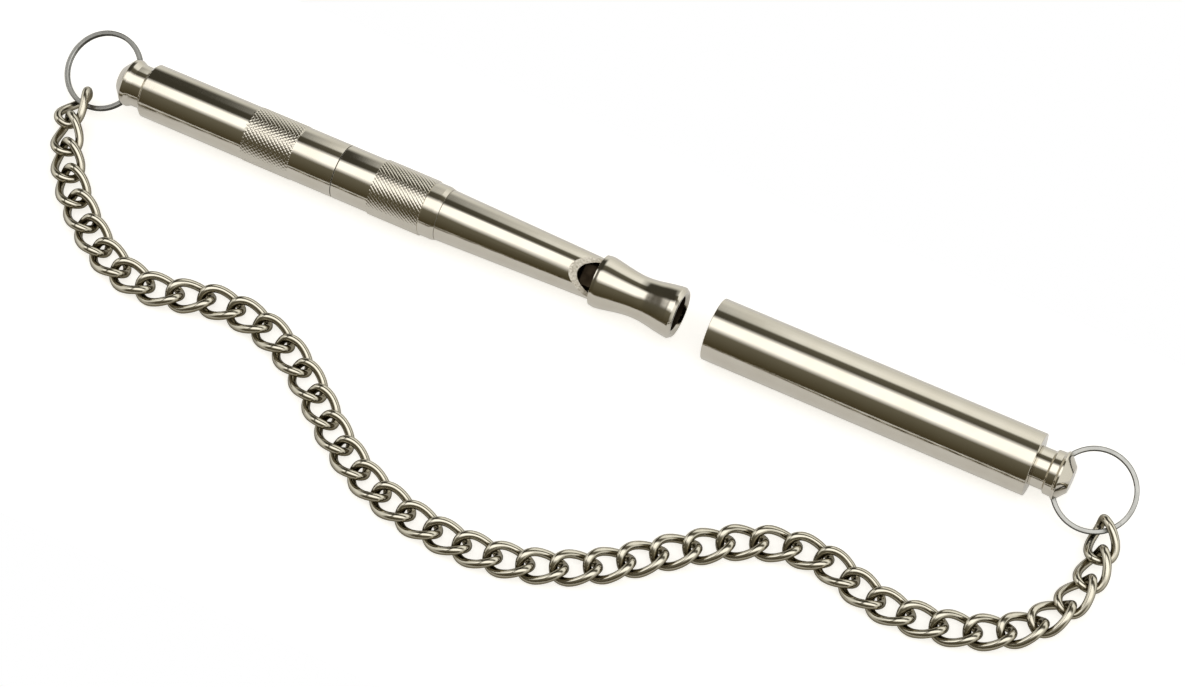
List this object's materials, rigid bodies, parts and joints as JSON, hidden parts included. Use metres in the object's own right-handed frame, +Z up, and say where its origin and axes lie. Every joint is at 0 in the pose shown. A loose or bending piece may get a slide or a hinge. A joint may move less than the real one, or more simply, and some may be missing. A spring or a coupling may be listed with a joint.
{
  "type": "dog whistle",
  "caption": "Slim tubular dog whistle with a knurled tuning barrel, knurled lock nut, slanted sound window, waisted mouthpiece, push-on cap, split end rings and a curb chain.",
  "frame": {"origin": "middle of the rear finial's flat end, on the axis of the whistle", "axes": "+X along the whistle's axis from the rear finial to the cap, +Z up from the surface that the whistle lies on, the chain on the -Y side"},
  "size_m": [0.1667, 0.0522, 0.0092],
  "materials": {
    "bright_nickel": "polished warm nickel plate on brass with fine turning marks",
    "chain_nickel": "tumbled nickel plate on steel wire",
    "ring_steel": "drawn spring steel",
    "brass": "bare turned brass"
  },
  "bodies": {
    "barrel": {"tuning_barrel": "bright_nickel", "piston_rod": "brass", "rear_finial": "bright_nickel"},
    "piston": {"piston": "brass"},
    "whistle": {"whistle_tube": "bright_nickel", "mouthpiece": "bright_nickel", "windway_plug": "brass"},
    "lock_nut": {"lock_nut": "bright_nickel"},
    "cap": {"cap_tube": "bright_nickel", "cap_finial": "bright_nickel"},
    "rear_ring": {"rear_ring": "ring_steel"},
    "cap_ring": {"cap_ring": "ring_steel"},
    "chain_rear_1": {"chain_link_01": "chain_nickel", "chain_link_02": "chain_nickel", "chain_link_03": "chain_nickel", "chain_link_04": "chain_nickel"},
    "chain_rear_2": {"chain_link_05": "chain_nickel", "chain_link_06": "chain_nickel", "chain_link_07": "chain_nickel", "chain_link_08": "chain_nickel"},
    "chain_rear_3": {"chain_link_09": "chain_nickel", "chain_link_10": "chain_nickel", "chain_link_11": "chain_nickel", "chain_link_12": "chain_nickel"},
    "chain_rear_4": {"chain_link_13": "chain_nickel", "chain_link_14": "chain_nickel", "chain_link_15": "chain_nickel", "chain_link_16": "chain_nickel", "chain_link_17": "chain_nickel"},
    "chain_rear_5": {"chain_link_18": "chain_nickel", "chain_link_19": "chain_nickel", "chain_link_20": "chain_nickel", "chain_link_21": "chain_nickel", "chain_link_22": "chain_nickel"},
    "chain_cap_1": {"chain_link_41": "chain_nickel", "chain_link_42": "chain_nickel", "chain_link_43": "chain_nickel", "chain_link_44": "chain_nickel"},
    "chain_cap_2": {"chain_link_37": "chain_nickel", "chain_link_38": "chain_nickel", "chain_link_39": "chain_nickel", "chain_link_40": "chain_nickel"},
    "chain_cap_3": {"chain_link_33": "chain_nickel", "chain_link_34": "chain_nickel", "chain_link_35": "chain_nickel", "chain_link_36": "chain_nickel"},
    "chain_cap_4": {"chain_link_28": "chain_nickel", "chain_link_29": "chain_nickel", "chain_link_30": "chain_nickel", "chain_link_31": "chain_nickel", "chain_link_32": "chain_nickel"},
    "chain_cap_5": {"chain_link_23": "chain_nickel", "chain_link_24": "chain_nickel", "chain_link_25": "chain_nickel", "chain_link_26": "chain_nickel", "chain_link_27": "chain_nickel"}
  },
  "joints": [
    {"name": "tuning_turn", "type": "hinge", "parent": "barrel", "child": "piston", "pos_m": [0.0603, 0, 0], "axis": [1, 0, 0], "range_deg": [0, 2160]},
    {"name": "tuning_travel", "type": "slide", "parent": "piston", "child": "whistle", "axis": [1, 0, 0], "range_m": [0, 0.0045]},
    {"name": "lock_nut_turn", "type": "hinge", "parent": "whistle", "child": "lock_nut", "pos_m": [0.0443, 0, 0], "axis": [1, 0, 0], "range_deg": [0, 360]},
    {"name": "cap_slide", "type": "slide", "parent": "barrel", "child": "cap", "axis": [-1, 0, 0], "range_m": [0, 0.0465]},
    {"name": "rear_ring_turn", "type": "hinge", "parent": "barrel", "child": "rear_ring", "pos_m": [-0.00328, 0.00017, -0.00042], "axis": [-0.0872, -0.3732, 0.9237], "continuous": true},
    {"name": "cap_ring_turn", "type": "hinge", "parent": "cap", "child": "cap_ring", "pos_m": [0.15078, 0.00017, -0.00042], "axis": [0.0872, -0.3732, 0.9237], "continuous": true},
    {"name": "chain_rear_1_bend", "type": "hinge", "parent": "barrel", "child": "chain_rear_1", "pos_m": [-0.00407, -0.00396, -0.00216], "axis": [0, 0, 1], "range_deg": [-60, 60]},
    {"name": "chain_rear_2_bend", "type": "hinge", "parent": "chain_rear_1", "child": "chain_rear_2", "pos_m": [0.00319, -0.01945, -0.00276], "axis": [0, 0, 1], "range_deg": [-46.86, 33.14]},
    {"name": "chain_rear_3_bend", "type": "hinge", "parent": "chain_rear_2", "child": "chain_rear_3", "pos_m": [0.01905, -0.02749, -0.00311], "axis": [0, 0, 1], "range_deg": [-57.76, 22.24]},
    {"name": "chain_rear_4_bend", "type": "hinge", "parent": "chain_rear_3", "child": "chain_rear_4", "pos_m": [0.03688, -0.02575, -0.00311], "axis": [0, 0, 1], "range_deg": [-28.39, 51.61]},
    {"name": "chain_rear_5_bend", "type": "hinge", "parent": "chain_rear_4", "child": "chain_rear_5", "pos_m": [0.05595, -0.03779, -0.00311], "axis": [0, 0, 1], "range_deg": [-44.88, 35.12]},
    {"name": "chain_cap_1_bend", "type": "hinge", "parent": "cap", "child": "chain_cap_1", "pos_m": [0.15318, -0.00333, -0.00206], "axis": [0, 0, 1], "range_deg": [-60, 60]},
    {"name": "chain_cap_2_bend", "type": "hinge", "parent": "chain_cap_1", "child": "chain_cap_2", "pos_m": [0.15168, -0.02034, -0.00276], "axis": [0, 0, 1], "range_deg": [-23.77, 56.23]},
    {"name": "chain_cap_3_bend", "type": "hinge", "parent": "chain_cap_2", "child": "chain_cap_3", "pos_m": [0.13524, -0.02695, -0.00311], "axis": [0, 0, 1], "range_deg": [-30.68, 49.32]},
    {"name": "chain_cap_4_bend", "type": "hinge", "parent": "chain_cap_3", "child": "chain_cap_4", "pos_m": [0.11749, -0.0243, -0.00311], "axis": [0, 0, 1], "range_deg": [-54.5, 25.5]},
    {"name": "chain_cap_5_bend", "type": "hinge", "parent": "chain_cap_4", "child": "chain_cap_5", "pos_m": [0.09841, -0.03618, -0.00311], "axis": [0, 0, 1], "range_deg": [-36.66, 43.34]}
  ],
  "couplings": [
    {"joint": "tuning_turn", "follows": "tuning_travel", "rad_per_m": 8377.6},
    {"joint": "chain_rear_1_bend", "follows": "cap_slide", "rad_per_m": -17.546},
    {"joint": "chain_rear_2_bend", "follows": "cap_slide", "rad_per_m": 8.1769},
    {"joint": "chain_rear_3_bend", "follows": "cap_slide", "rad_per_m": 3.9349},
    {"joint": "chain_rear_4_bend", "follows": "cap_slide", "rad_per_m": -0.23445},
    {"joint": "chain_rear_5_bend", "follows": "cap_slide", "rad_per_m": 4.7233},
    {"joint": "chain_cap_1_bend", "follows": "cap_slide", "rad_per_m": 16.807},
    {"joint": "chain_cap_2_bend", "follows": "cap_slide", "rad_per_m": -4.7426},
    {"joint": "chain_cap_3_bend", "follows": "cap_slide", "rad_per_m": -6.9468},
    {"joint": "chain_cap_4_bend", "follows": "cap_slide", "rad_per_m": 0.62997},
    {"joint": "chain_cap_5_bend", "follows": "cap_slide", "rad_per_m": -1.8659}
  ]
}
